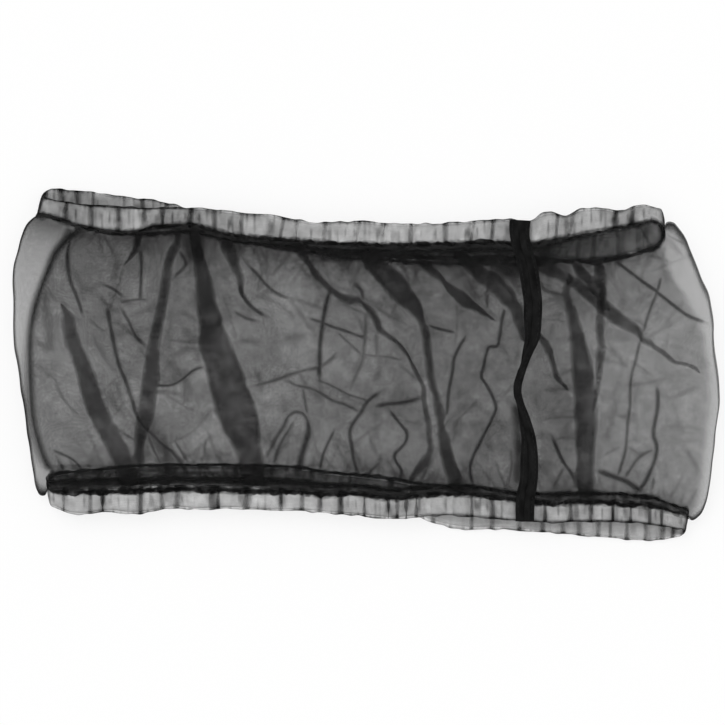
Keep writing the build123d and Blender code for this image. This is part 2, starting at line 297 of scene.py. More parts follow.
# Creases in the front half: darkness, width, line.
CREASES = [
    (2.2, 4.2, [(-232, 52), (-228, 30), (-221, 0), (-215, -15), (-210, -30), (-205, -45),
                (-198, -55), (-190, -62), (-183, -70), (-173, -78), (-166, -88), (-160, -98)]),
    (1.5, 14.0, [(118, 94), (130, 80), (138, 62)]),
    (1.3, 10.0, [(209, 99), (212, 80), (213, 65), (213, 48)]),
    (1.4, 10.0, [(-272, 112), (-279, 102), (-284, 92), (-286, 60), (-284, 35), (-282, 12)]),
    (1.7, 17.0, [(-199, -38), (-194, -52), (-187, -66), (-180, -80), (-174, -98)]),
    (2.1, 9.0, [(134, -34), (135, -50), (136, -66), (137, -85), (135, -106)]),
    (1.4, 16.0, [(138, 58), (140, 40), (140, 22)]),
    (2.2, 3.5, [(-264, 114), (-267, 96), (-266, 80), (-258, 58), (-254, 46)]),
    (2.0, 3.0, [(-206, 118), (-202, 98), (-202, 80), (-203, 58)]),
    (2.0, 3.0, [(-236, 73), (-227, 69), (-218, 62)]),
    (1.8, 2.5, [(-222, 57), (-210, 59), (-198, 60)]),
    (1.9, 3.5, [(-220, 52), (-212, 38), (-206, 26), (-199, 19)]),
    (2.2, 2.5, [(-190, -17), (-175, -17), (-165, -12), (-155, -4), (-145, 0)]),
    (2.0, 2.5, [(-280, -75), (-270, -80), (-262, -85), (-256, -92)]),
    (1.8, 2.5, [(-276, -83), (-271, -95)]),
    (1.8, 2.5, [(-228, -50), (-218, -60), (-208, -66)]),
    (1.8, 3.0, [(-195, -62), (-190, -76), (-182, -90)]),
    (1.8, 2.5, [(-172, -66), (-167, -75), (-160, -86)]),
    (1.7, 2.5, [(-143, -64), (-145, -72), (-145, -80)]),
    (2.4, 4.0, [(-115, 75), (-110, 62), (-104, 54), (-96, 48), (-91, 45)]),
    (1.9, 3.0, [(-106, 90), (-98, 82), (-90, 73), (-80, 65), (-69, 60)]),
    (1.7, 3.0, [(-119, 49), (-108, 43), (-97, 40)]),
    (2.5, 4.0, [(-32, 70), (-35, 60), (-37, 52), (-39, 40), (-41, 25), (-42, 10), (-42, -10)]),
    (2.0, 3.0, [(-52, 43), (-40, 39), (-30, 35), (-20, 32), (-10, 28), (1, 25)]),
    (1.5, 2.5, [(-27, 31), (-15, 20), (-6, 12), (6, 9), (20, 8), (31, 5)]),
    (1.8, 3.0, [(108, 74), (108, 60), (108, 50)]),
    (2.2, 3.0, [(124, 52), (121, 40), (119, 25), (117, 18), (110, 17), (107, 10), (105, 0),
                (103, -10), (108, -18), (113, -28), (116, -37), (112, -48), (106, -60),
                (101, -70), (96, -80), (93, -90), (95, -106)]),
    (2.1, 3.2, [(89, 27), (82, 15), (78, 5), (77, -5), (75, -15), (73, -28), (72, -45)]),
    (2.0, 2.5, [(54, 37), (62, 34), (70, 32), (80, 30)]),
    (2.4, 3.5, [(222, 95), (235, 85), (247, 76), (258, 68), (268, 60), (278, 52), (288, 45),
                (298, 41), (304, 39)]),
    (2.0, 3.0, [(264, 80), (260, 66), (256, 56), (252, 45), (249, 35), (246, 25), (243, 15),
                (241, 5), (238, -5), (236, -20), (236, -35), (234, -50), (233, -65), (231, -80),
                (228, -90), (225, -99)]),
    (1.6, 4.0, [(154, 79), (160, 68), (170, 65), (181, 60)]),
    (1.4, 3.0, [(249, 100), (262, 97), (273, 93)]),
    (1.6, 2.5, [(269, 118), (278, 113), (286, 109)]),
    (2.3, 4.0, [(260, -18), (261, -30), (260, -42), (258, -52), (257, -62), (260, -72),
                (258, -85), (254, -95), (249, -105), (243, -113)]),
    (1.8, 3.0, [(257, -75), (250, -78), (243, -83), (237, -92), (231, -101)]),
    (2.4, 5.0, [(207, -94), (216, -97), (224, -100), (232, -103), (240, -108), (248, -113)]),
    (2.3, 3.5, [(167, -65), (172, -77), (177, -87), (183, -95), (187, -103), (191, -112)]),
    (1.6, 4.0, [(177, -91), (172, -100), (167, -110)]),
    (1.5, 3.5, [(130, -74), (130, -90), (127, -106)]),
    (1.8, 3.0, [(258, -99), (256, -112)]),
    (1.9, 3.0, [(-91, -84), (-85, -72), (-80, -62), (-75, -55), (-70, -45), (-63, -41),
                (-57, -43), (-52, -52), (-50, -62)]),
    (1.9, 3.0, [(-83, -88), (-80, -77), (-75, -66), (-70, -58), (-65, -50)]),
    (2.5, 6.0, [(-53, -48), (-52, -58), (-55, -70), (-58, -80), (-61, -94)]),
    (1.6, 3.0, [(-57, -20), (-55, -32), (-53, -43)]),
    (1.8, 3.5, [(-101, -18), (-90, -15), (-80, -12), (-70, -8), (-60, -5), (-50, -3), (-40, 0),
                (-32, 6), (-27, 11)]),
    (1.7, 3.2, [(-72, -13), (-60, -18), (-50, -20), (-40, -25), (-30, -31), (-20, -34),
                (-12, -38), (-7, -41)]),
    (1.6, 2.5, [(-46, -12), (-35, -16), (-25, -21), (-15, -26), (-5, -29), (3, -31)]),
    (2.2, 3.5, [(13, -23), (5, -28), (0, -33), (-4, -40), (-9, -47), (-14, -55), (-15, -62),
                (-13, -72), (-12, -82), (-9, -92), (-6, -100)]),
    (2.0, 4.0, [(7, -37), (18, -34), (30, -33), (40, -31), (49, -28)]),
    (2.2, 3.0, [(21, -40), (27, -48), (32, -54), (36, -60), (35, -68), (30, -74), (25, -80),
                (27, -87), (31, -93), (30, -102)]),
    (2.0, 3.0, [(-29, -58), (-35, -70), (-39, -80), (-42, -94)]),
    (1.8, 3.0, [(11, -87), (4, -94), (-1, -101)]),
    (1.4, 3.0, [(101, -29), (90, -40), (82, -48), (77, -59)]),
    (1.8, 3.0, [(61, -79), (55, -90), (49, -102)]),
    (1.6, 4.0, [(0, 49), (-1, 35), (-2, 20), (-4, 5), (-8, -5), (-13, -16)]),
    (1.4, 3.0, [(8, 41), (9, 25), (9, 8)]),
    (2.0, 4.0, [(-12, 74), (-5, 68), (-3, 58)]),
    (1.3, 3.5, [(46, 90), (43, 78), (38, 70), (30, 61), (24, 50), (21, 42)]),
    (1.9, 3.0, [(-168, 103), (-162, 92), (-172, 80)]),
]

# How dense the net lies over the top rim's front: x, density.
CASING_TONE = [(-290, 1.7), (-262, 1.85), (-245, 1.4), (-225, 1.5), (-208, 0.95), (-195, 1.45),
               (-183, 1.8), (-170, 2.0), (-153, 2.3), (-135, 1.6), (-100, 1.4), (-60, 1.25),
               (-20, 0.95), (40, 1.1), (100, 1.2), (270, 1.35)]
# Tucks of the casings: x, width, lean.
TOP_FRONT_TUCKS = [
    (-270, 6, 2), (-248, 6, 0), (-223, 7, 0), (-199, 5, -2), (-183, 4, 0), (-158, 6, 2),
    (-137, 5, 0), (-112, 4, 0), (-76, 4, 4), (-63, 3, 0), (-38, 4, 2), (-8, 4, 4), (15, 3, 4),
    (40, 4, 0), (71, 4, 0), (95, 4, 4), (113, 4, 3), (171, 3, 2), (183, 5, 5), (224, 6, 0),
    (238, 5, 2),
]
TOP_BACK_TUCKS = [
    (-276, 6, 0), (-262, 4, 0), (-247, 3, 0), (-219, 3, 0), (-202, 6, 0), (-181, 4, 0),
    (-160, 5, 0), (-130, 5, 0), (-95, 4, 0), (-60, 5, 0), (-22, 4, 0), (10, 5, 0), (45, 4, 0),
    (80, 5, 0), (118, 4, 0), (160, 5, 0), (191, 4, 2), (205, 4, 2), (227, 4, -2), (246, 4, 0),
]
BOTTOM_FRONT_TUCKS = [
    (-272, 3, 0), (-248, 4, 0), (-237, 3, 0), (-203, 4, 0), (-184, 4, 2), (-170, 6, -2),
    (-139, 5, 0), (-133, 3, 0), (-108, 5, 0), (-77, 4, 0), (-58, 4, 0), (-42, 4, 0),
    (-23, 5, 0), (-2, 3, 0), (20, 2.5, 0), (28, 2.5, 0), (36, 2.5, 0), (45, 3, 0), (95, 4, 0),
    (113, 5, 0), (160, 3, 0), (183, 4, 0), (201, 3, 0), (221, 3, 0), (237, 3, 0), (254, 3, 0),
    (265, 3, 0),
]
BOTTOM_BACK_TUCKS = [
    (-262, 4, 0), (-240, 5, 0), (-215, 4, 0), (-180, 5, 0), (-150, 4, 0), (-118, 5, 0),
    (-85, 4, 0), (-50, 5, 0), (-15, 4, 0), (22, 5, 0), (60, 4, 0), (95, 5, 0), (114, 5, 0),
    (138, 5, 0), (160, 3, 0), (177, 4, 0), (192, 4, 0), (209, 4, 0), (220, 3, 0), (235, 5, 0),
    (252, 3, 0), (267, 5, 0), (277, 3, 0),
]

# The tape over the side seam, from the upper rim down: x, y, visible width.
TAPE_LINE = [
    (137.8, 131, 19), (137.3, 120, 18), (138.8, 109, 17), (142.5, 97, 16.5), (144.8, 87, 17),
    (146.8, 73, 17), (148.6, 58, 16.5), (148.3, 42, 16), (147.8, 25, 13), (144.3, 13, 9.5),
    (139.3, -6, 5.2), (136, -21, 4.8), (137.3, -32, 6), (140.8, -46, 9.5), (145, -66, 13),
    (145.6, -83, 15.5), (145, -104, 16), (142.5, -120, 17), (142, -139.5, 16.5),
]
TAPE_WIDTH = 19.0
TAPE_THICKNESS = 0.6


# --- meshes -------------------------------------------------------------------------------------
def new_object(name, points, faces, material):
    mesh = bpy.data.meshes.new(name)
    mesh.from_pydata(laid(points.reshape(-1, 3)).tolist(), [], faces)
    mesh.polygons.foreach_set("use_smooth", [True] * len(mesh.polygons))
    mesh.materials.append(material)
    piece = bpy.data.objects.new(name, mesh)
    bpy.context.scene.collection.objects.link(piece)
    return piece


def grid_faces(rows, columns, round_rows=False, round_columns=False):
    """Quads over a grid of points. A round direction joins its last line to its first."""
    i = np.arange(rows if round_rows else rows - 1)
    j = np.arange(columns if round_columns else columns - 1)
    i, j = [part.ravel() for part in np.meshgrid(i, j, indexing="ij")]
    down, across = (i + 1) % rows, (j + 1) % columns
    corners = [i * columns + j, down * columns + j, down * columns + across, i * columns + across]
    return np.stack(corners, axis=1)


def cut_places(points):
    """Where each point of a grid lies in the cloth before it was folded, in millimetres."""
    along = np.linalg.norm(np.diff(points, axis=0), axis=-1)
    across = np.linalg.norm(np.diff(points, axis=1), axis=-1)
    row = np.concatenate([np.zeros((1, points.shape[1])), np.cumsum(along, axis=0)])
    column = np.concatenate([np.zeros((points.shape[0], 1)), np.cumsum(across, axis=1)], axis=1)
    return np.stack([row, column], axis=-1)


def give_places(piece, cloth, round_length=None):
    """Writes where each point lies in the flat cloth, in millimetres, as a UV map.

    On a piece that closes on itself, the quads that close it go on from its end.
    """
    point = np.empty(len(piece.data.loops), np.int32)
    piece.data.loops.foreach_get("vertex_index", point)
    corner = cloth.reshape(-1, 2)[point]
    if round_length is not None:
        along = corner[:, 0].reshape(-1, 4)
        closing = np.ptp(along, axis=1) > round_length / 2
        along += np.where(closing[:, None] & (along < round_length / 2), round_length, 0.0)
    layer = piece.data.uv_layers.new(name="cloth")
    layer.data.foreach_set("uv", corner.ravel().astype(np.float32))


def give_value(piece, name, values):
    layer = piece.data.attributes.new(name, "FLOAT", "POINT")
    layer.data.foreach_set("value", np.asarray(values, np.float32).ravel())


def grid_piece(name, points, cloth, material, values=None, **rounds):
    faces = grid_faces(points.shape[0], points.shape[1], **rounds)
    piece = new_object(name, points, faces.tolist(), material)
    give_places(piece, cloth, cloth[..., 0].max() if rounds.get("round_rows") else None)
    for key, value in (values or {}).items():
        give_value(piece, key, value)
    return piece


# --- materials ----------------------------------------------------------------------------------
class Wiring:
    """Shorthand for building a material's node tree."""

    def __init__(self, name):
        self.material = bpy.data.materials.new(name)
        self.material.use_nodes = True
        self.tree = self.material.node_tree
        self.shader = self.tree.nodes["Principled BSDF"]

    def node(self, kind, **settings):
        made = self.tree.nodes.new(kind)
        for key, value in settings.items():
            setattr(made, key, value)
        return made

    def join(self, source, target):
        self.tree.links.new(source, target)

    def math(self, operation, *terms):
        """One step of arithmetic on two or three terms, each a number or another node's output."""
        made = self.node("ShaderNodeMath", operation=operation)
        for slot, term in zip(made.inputs, terms):
            if isinstance(term, (int, float)):
                slot.default_value = term
            else:
                self.join(term, slot)
        return made.outputs[0]

    def place(self):
        """The two flat-cloth coordinates, in millimetres."""
        uv = self.node("ShaderNodeUVMap", uv_map="cloth")
        split = self.node("ShaderNodeSeparateXYZ")
        self.join(uv.outputs[0], split.inputs[0])
        return split.outputs[0], split.outputs[1]

    def value(self, name):
        """A value that the mesh holds at each of its points."""
        return self.node("ShaderNodeAttribute", attribute_name=name).outputs["Fac"]

    def noise(self, x, y, size_x, size_y, detail=2.0):
        """Noise over the cloth, in blotches of the given sizes in millimetres."""
        spot = self.node("ShaderNodeCombineXYZ")
        self.join(self.math("DIVIDE", x, size_x), spot.inputs[0])
        self.join(self.math("DIVIDE", y, size_y), spot.inputs[1])
        made = self.node("ShaderNodeTexNoise")
        made.inputs["Scale"].default_value = 1.0
        made.inputs["Detail"].default_value = detail
        self.join(spot.outputs[0], made.inputs["Vector"])
        return made.outputs["Fac"]

    def grey(self, factor, dark, light):
        """A grey between two levels, by a noise that lies mostly between 0.3 and 0.7."""
        ramp = self.node("ShaderNodeMapRange")
        for slot, number in zip(range(1, 5), (0.3, 0.7, dark, light)):
            ramp.inputs[slot].default_value = number
        self.join(factor, ramp.inputs[0])
        return ramp.outputs[0]

    def bump(self, height, strength, distance):
        made = self.node("ShaderNodeBump")
        made.inputs["Strength"].default_value = strength
        made.inputs["Distance"].default_value = distance
        self.join(height, made.inputs["Height"])
        self.join(made.outputs[0], self.shader.inputs["Normal"])

    def finish(self, roughness, specular):
        self.shader.inputs["Roughness"].default_value = roughness
        self.shader.inputs["Specular IOR Level"].default_value = specular
        return self.material


def thread_rise(wires, place, pitch):
    """1 on the middle of each thread and 0 midway between two."""
    share = wires.math("FRACT", wires.math("DIVIDE", place, pitch))
    return wires.math("ABSOLUTE", wires.math("MULTIPLY_ADD", share, 2.0, -1.0))


def net_cover(wires, rise, share):
    """How opaque net is at each place: clear threads over the even haze of their fuzz."""
    hole = wires.math("SUBTRACT", 1.0, share)
    threads = wires.math("GREATER_THAN", rise, hole)
    covered = wires.math("SUBTRACT", 1.0, wires.math("MULTIPLY", hole, hole))
    haze = wires.math("MULTIPLY", covered, 1.0 - THREAD_SHARE)
    return wires.math("MULTIPLY_ADD", threads, THREAD_SHARE, haze)


def net_material(name):
    """Fine square net. Its holes are see-through; the threads take a share of the pitch each way."""
    wires = Wiring(name)
    x, y = wires.place()
    wander = wires.noise(x, y, 25.0, 25.0)
    x = wires.math("MULTIPLY_ADD", wander, 3.0, x)
    y = wires.math("MULTIPLY_ADD", wander, -3.0, y)
    weft = thread_rise(wires, x, THREAD_PITCH)
    warp = thread_rise(wires, y, THREAD_PITCH)
    rise = wires.math("MAXIMUM", weft, warp)
    uneven = wires.math("MULTIPLY_ADD", wires.noise(x, y, 1.7, 1.7), 0.4, 0.8)
    share = wires.math("MULTIPLY", wires.value("cover"), uneven)
    wires.join(net_cover(wires, rise, share), wires.shader.inputs["Alpha"])
    tone = wires.grey(wires.noise(x, y, 25.0, 12.0), NET_GREY * 0.7, NET_GREY * 1.4)
    wires.join(tone, wires.shader.inputs["Base Color"])
    wires.bump(rise, 0.4, 0.0001)
    return wires.finish(0.8, 0.04)


def bunched_material(name):
    """Net drawn up so tightly that few holes are left, with the seam's thread in it."""
    wires = Wiring(name)
    x, y = wires.place()
    pitch = 0.7
    rise = wires.math("MAXIMUM", thread_rise(wires, x, pitch), thread_rise(wires, y, pitch))
    wires.join(net_cover(wires, rise, wires.value("cover")), wires.shader.inputs["Alpha"])
    hole = wires.math("SUBTRACT", 1.0, wires.value("cover"))
    ruffle = wires.noise(x, y, 1.6, 9.0, 3.0)
    streak = wires.grey(wires.noise(x, y, 14.0, 1.8, 2.0), 0.3, 1.0)
    # Painted light: the threads are coloured paler where the bunched net is thin, in place of the
    # light that comes through it.
    painted_through_light = wires.math("MULTIPLY", hole, 0.06)
    tone = wires.math("MULTIPLY", streak, wires.math("ADD", painted_through_light, 0.004))
    wires.join(tone, wires.shader.inputs["Base Color"])
    wires.bump(ruffle, 0.8, 0.0006)
    return wires.finish(0.8, 0.04)


def elastic_material():
    """White flat elastic: fine ribs along it, a weft across them, and the odd duller patch."""
    wires = Wiring("white_elastic")
    x, y = wires.place()
    ribs = thread_rise(wires, y, 1.5)
    weft = thread_rise(wires, x, 0.9)
    weave = wires.math("MULTIPLY", ribs, weft)
    patch = wires.noise(x, y, 14.0, 9.0)
    tone = wires.math("MULTIPLY_ADD", weave, 0.10, wires.grey(patch, 0.58, 0.80))
    wires.join(tone, wires.shader.inputs["Base Color"])
    wires.bump(weave, 0.6, 0.0003)
    return wires.finish(0.7, 0.3)


def tape_material():
    """Black woven binding tape, with a close diagonal twill."""
    wires = Wiring("binding_tape")
    x, y = wires.place()
    slope = wires.math("ADD", x, wires.math("MULTIPLY", y, 0.6))
    twill = thread_rise(wires, slope, 1.1)
    cross = thread_rise(wires, wires.math("SUBTRACT", y, wires.math("MULTIPLY", x, 0.4)), 0.8)
    weave = wires.math("MULTIPLY", twill, cross)
    tone = wires.math("MULTIPLY_ADD", weave, 0.003, wires.grey(wires.noise(x, y, 6, 15), 0.003, 0.012))
    wires.join(tone, wires.shader.inputs["Base Color"])
    wires.bump(weave, 0.5, 0.0003)
    return wires.finish(0.85, 0.05)


def thread_material(name, grey):
    """Twisted sewing thread."""
    wires = Wiring(name)
    x, y = wires.place()
    twist = thread_rise(wires, wires.math("ADD", x, y), 0.5)
    tone = wires.math("MULTIPLY_ADD", twist, grey * 0.5, grey)
    wires.join(tone, wires.shader.inputs["Base Color"])
    wires.bump(twist, 0.6, 0.0001)
    return wires.finish(0.5, 0.25)


# --- the two rims -------------------------------------------------------------------------------
class Rim:
    """The loop that a rim follows: along the front, round an end, along the back, round the other.

    seam is the middle of the gathered seam, edge the casing's outer edge, out the way out of the
    veil, and half the bunched seam's half width, each given at every millimetre or so along.
    """

    def __init__(self, front_seam, back_seam, front_edge, back_edge, ends):
        (left_seam, left_edge), (right_seam, right_edge) = ends
        front, back = route(front_seam, 1.0), route(back_seam, 1.0)[::-1]
        front_rim = self.beyond(front[:, 0], front_edge)
        back_rim = self.beyond(back[:, 0], back_edge)
        right = self.turn(front[-1], back[0], right_seam)
        left = self.turn(front[0], back[-1], left_seam)[::-1]
        right_rim = self.turn(front_rim[-1], back_rim[0], right_edge)
        left_rim = self.turn(front_rim[0], back_rim[-1], left_edge)[::-1]
        turn_right = np.linspace(90, -90, len(right))
        turn_left = np.linspace(-90, 90, len(left))
        angle = np.radians(np.concatenate([
            np.full(len(front), 90.0), turn_right, np.full(len(back), -90.0), turn_left]))
        flat_seam = np.concatenate([front, right, back, left])
        flat_edge = np.concatenate([front_rim, right_rim, back_rim, left_rim])
        side = np.concatenate([
            np.zeros(len(front)), np.ones(len(right)), np.zeros(len(back)), -np.ones(len(left))])
        level = MID_LEVEL + (FRONT_LEVEL - BACK_LEVEL) / 2 * np.sin(angle)
        self.middle_right = len(front) + len(right) // 2
        self.middle_left = len(flat_seam) - len(left) // 2
        self.seam = np.column_stack([flat_seam[:, :2], level])
        self.edge = np.column_stack([flat_edge[:, :2], level])
        self.half = flat_seam[:, 2]
        self.out = np.column_stack([side * np.cos(angle), np.zeros(len(angle)), np.sin(angle)])
        self.along = lengths(np.concatenate([self.seam, self.seam[:1]]))
        self.length = self.along[-1]

    @staticmethod
    def beyond(x, edge):
        """The outer edge over each place of the seam."""
        line = np.array(edge, float)
        return np.column_stack([x, through(line[:, 0], line[:, 1], x), np.zeros(len(x))])

    @staticmethod
    def turn(front, back, reach, steps=24):
        """The end of the loop, from the front down to the back."""
        angle = np.radians(np.linspace(90, -90, steps + 2)[1:-1])
        share = (1 - np.sin(angle)) / 2
        place = front[None] * (1 - share[:, None]) + back[None] * share[:, None]
        place[:, 0] += (reach - place[:, 0]) * np.cos(angle)
        return place

    def at(self, along, values):
        """Values of the loop at given distances along it."""
        along = np.mod(along, self.length)
        looped = np.concatenate([values, values[:1]])
        if looped.ndim == 1:
            return np.interp(along, self.along, looped)
        return np.stack([np.interp(along, self.along, column) for column in looped.T], axis=-1)

    def frame(self, along):
        """The seam, the outer edge and the way out at given distances along the loop."""
        return [self.at(along, values) for values in (self.seam, self.edge, self.out)]

    def find(self, x, front):
        """How far along the loop the front, or the back, passes x."""
        in_front = self.seam[:, 2] > MID_LEVEL
        miss = np.where(in_front == front, np.abs(self.seam[:, 0] - x), np.inf)
        return self.along[np.argmin(miss)]

    def grid(self, step, turn):
        """Places about a step apart along the loop, each with every turn round it."""
        steps = int(self.length / step)
        along = np.arange(steps) * self.length / steps
        return np.meshgrid(along, turn, indexing="ij")


FOLD_TURN = 0.36            # share of a pleat's reach at which its cloth turns back
SOFT_EDGE = 2.5             # what a pleat's thin folded edges add to its width, mm
FOLD_THINNING = 0.88        # how much thinner a ply is at its own fold
DEEP = 4.0                  # a pleat at least this wide is fully folded, mm
PLEAT_ROOM = 4.0            # how far past its half width a pleat draws cloth in, mm
PAST_END = 8.0              # over what length a line's effect fades past its ends, mm


def fold_fade(offset, place, width, reach, rim):
    """Thins each ply of a pleat towards its own fold, so that the pleat's edges come on softly."""
    share = offset / reach
    to_far, to_near = width / 2 - place, place + width / 2
    middle = np.minimum(to_far, to_near)
    away = np.where(share < -FOLD_TURN, to_far, np.where(share > FOLD_TURN, to_near, middle))
    return 1 - FOLD_THINNING * (1 - smooth(away / rim)) * smooth(width / DEEP)


def pleat(offset, width, reach):
    """Where the cloth lies across a pleat, and how far it is lifted, as shares of a ply.

    offset is the cloth's own distance from the pleat's middle. The cloth passes the far edge, turns
    back to the near edge, and goes on over itself, so the pleat is three plies thick.
    """
    turn = FOLD_TURN
    share = np.clip(offset / reach, -1, 1)
    size = np.abs(share)
    u = (1 - size) / (1 - turn)
    first = (2 * u ** 3 - 3 * u ** 2 + 1) * -reach + (u ** 3 - 2 * u ** 2 + u) * (1 - turn) * reach
    first = first + u * u * (3 - 2 * u) * width / 2
    middle = width / 2 * (1 - 2 * smooth((share + turn) / (2 * turn)))
    place = np.where(size > turn, np.where(share < 0, first, -first), middle)
    strength = smooth(width / DEEP)
    place = offset + (place - np.clip(offset, -reach, reach)) * strength
    rise = 0.25 * smooth((share + 1) / (1 - turn)) ** 4
    climb = 0.25 + 1.5 * smooth((share + turn) / (2 * turn))
    fall = 1.75 * (1 - smooth((place - width / 2) / (reach - width / 2)))
    lift = np.where(share < -turn, rise, np.where(share < turn, climb, fall))
    inside = np.abs(offset) < reach
    return np.where(inside, place, offset), np.where(inside, lift * strength, 0.0)


def tucked(rim, along, share, tucks, tone):
    """Draws a casing's cloth into its tucks. Gives the new distance along, the lift and the plies,
    which also hold painted shade in a soft band round each tuck.
    """
    across = share * CASING_DEPTH
    lift = np.zeros_like(along)
    thick = np.ones_like(along)
    for x, width, lean, front in tucks:
        middle = rim.find(x, front) + lean * (share - 0.5) * (1 if front else -1)
        offset = along - middle
        offset = (offset + rim.length / 2) % rim.length - rim.length / 2
        wide = (width + 1.2) * (0.9 + 0.35 * drift(across, share * 0 + x, 9.0, 27))
        reach = 0.5 * width + 3.4
        place, raised = pleat(offset, wide, reach)
        along = along + place - offset
        lift = np.maximum(lift, raised)
        ragged = place + 0.8 * drift(along, across, 3.0, 18)
        inside = smooth((wide / 2 + 0.8 - np.abs(place)) / 1.6)
        thick = thick * fold_fade(offset, place, wide, reach, 0.42 * wide)
        thick = thick * (1 + (tone - 1 + 0.15 * math.sin(5.0 * x)) * inside)
        # Painted shade: the net is made denser in a soft band round each tuck. This is partly net
        # drawn in towards the tuck and partly painted shade beside the fold.
        thick = thick * (1 + 0.4 * hump(ragged, 0.8 * width + 1.5))
    return along, lift, thick


def casing_plies(x, y, outside, facing):
    """How dense the net of a casing lies, before its tucks: outside, and on its hidden face."""
    upper = y > 0
    front = smooth((facing + 0.3) / 0.6)
    lower_tone = 0.9 + 0.4 * smooth((x + 60) / 140) * front
    shown = np.where(upper, np.interp(x, *zip(*CASING_TONE)), lower_tone)
    hidden = np.where(upper, 1.35 - 0.5 * smooth((x - 150) / 40), 0.6)
    return np.where(outside, shown, hidden)


def casing_lines(place, share, x, facing):
    """Darker lines: along a casing's edge, along its seam, and where it turns round an end."""
    edge_line = np.maximum(2.2 + 2.2 * drift(place, share * 0, 12.0, 20), 0.8)
    lines = 1 + edge_line * hump((1 - share) * CASING_DEPTH, 1.1)
    lines = lines + 1.2 * hump(share * CASING_DEPTH, 2.5)
    lines = lines + 3.0 * hump(facing, 0.4)
    to_end = np.minimum(x - x.min(axis=0), x.max(axis=0) - x)
    return lines + 2.0 * hump(to_end, 2.0)


def casing(name, rim, tucks, tuck_tone, material):
    """The net folded round the elastic: a flat sleeve round the loop, with its tucks."""
    along, turn = rim.grid(0.8, np.linspace(0, 2 * math.pi, 25))
    share = (1 - np.cos(turn)) / 2
    across = share * CASING_DEPTH
    place, lift, thick = tucked(rim, along, share, tucks, tuck_tone)
    seam, edge, out = rim.frame(place)
    half = np.sign(np.sin(turn)) * np.abs(np.sin(turn)) ** 0.6
    swell = CASING_HALF + 0.25 * drift(place, share * 20, 6.0, 5) + lift * 0.8
    puff = 0.8 * drift(place, place * 0, 7.0, 6) * smooth((share - 0.6) / 0.4)
    points = seam + (edge - seam) * share[..., None] + out * (half * swell)[..., None]
    points = points + unit(edge - seam) * puff[..., None]
    x, y, facing = points[..., 0], points[..., 1], out[..., 2]
    uneven = 0.3 * drift(place, across, 7.0, 7) + 0.2 * drift(place, across, 2.5, 17)
    creases = 2.5 * np.clip(drift(place, share * 4, 2.2, 19) - 0.2, 0, 1) ** 1.5
    plies = casing_plies(x, y, np.sin(turn) >= 0, facing) * thick * (1 + uneven + creases)
    cover = cover_of(plies * casing_lines(place, share, x, facing))
    return grid_piece(name, points, cut_places(points), material, {"cover": cover}, round_rows=True)


def elastic(name, rim, material):
    """The loop of flat white elastic inside the casing."""
    along, share = rim.grid(2.0, np.linspace(0.10, 0.92, 9))
    seam, edge, out = rim.frame(along)
    wave = 0.45 * drift(along, share * 0, 7.0, 8)
    points = seam + (edge - seam) * share[..., None] + out * wave[..., None]
    cloth = np.stack([along, share * 24], axis=-1)
    piece = grid_piece(name, points, cloth, material, round_rows=True)
    thicken(piece, 1.0)
    return piece


def thicken(piece, thickness):
    layer = piece.modifiers.new("thickness", "SOLIDIFY")
    layer.thickness = thickness * MM
    layer.offset = 0.0


# What the gathering seam is made of: a see-through sleeve of bunched net, and two tight cords of it.
# clear is the cover, less by behind on the veil's back; soft is how far the cover fades at an edge.
Strand = namedtuple("Strand", "side around seed inset swell clear behind least flecks soft")
STRANDS = [
    Strand(side=0, around=16, seed=50, inset=0.0, swell=0.0, clear=0.36, behind=0.12, least=0.12,
           flecks=0.75, soft=4.5),
    Strand(side=1, around=10, seed=60, inset=2.6, swell=0.3, clear=0.93, behind=0.35, least=0.3,
           flecks=0.45, soft=1.5),
    Strand(side=-1, around=10, seed=70, inset=1.8, swell=0.2, clear=0.93, behind=0.35, least=0.3,
           flecks=0.45, soft=1.5),
]


def strand_shape(rim, strand, along, turn):
    """A strand's points round the loop, and its half width at each."""
    side, seed = strand.side, strand.seed
    roll = rim.at(along, rim.half)
    flat = along * 0
    if side == 0:
        half = roll + 1.6 + 1.1 * drift(along, np.sign(np.cos(turn)) * 9, 4.0, seed + 5)
        offset, thick = flat, np.full_like(roll, 1.6)
    else:
        lumps = 0.35 * drift(along, flat, 7.0, seed) + 0.25 * drift(along, flat, 2.6, seed + 1)
        wander = 0.6 * drift(along, flat, 16.0, seed + 2) + 0.7 * drift(along, flat, 6.0, seed + 3)
        half = (0.9 + strand.swell * roll) * (1 + lumps)
        half = half * (1 + 0.2 * drift(along, turn * 2, 2.0, seed + 4))
        offset = side * np.maximum(roll - strand.inset, 0.0) + wander
        thick = np.minimum(half, 2.3)
    seam, edge, out = rim.frame(along)
    points = seam + unit(edge - seam) * (offset + half * np.cos(turn))[..., None]
    return points + out * (thick * np.sin(turn))[..., None], half


def strand_cover(rim, strand, along, turn, half):
    """How opaque a strand is: streaky, with light flecks, and fading at its edges."""
    seed = strand.seed
    streak = 0.6 * drift(along, turn * 4, 9.0, seed + 6) + 0.5 * drift(along, turn * 6, 3.0, seed + 7)
    behind = smooth(0.5 - rim.at(along, rim.out)[..., 2])
    cover = np.clip(strand.clear - strand.behind * behind - 0.35 * streak, strand.least, 1.0)
    fleck = smooth((drift(along / 2.5, turn * 3, 1.3, seed + 8) - 0.35) / 0.3)
    cover = cover * (1 - strand.flecks * fleck)
    to_edge = (1 - np.abs(np.cos(turn))) * half
    return cover * (0.12 + 0.88 * smooth((to_edge + 0.1) / strand.soft))


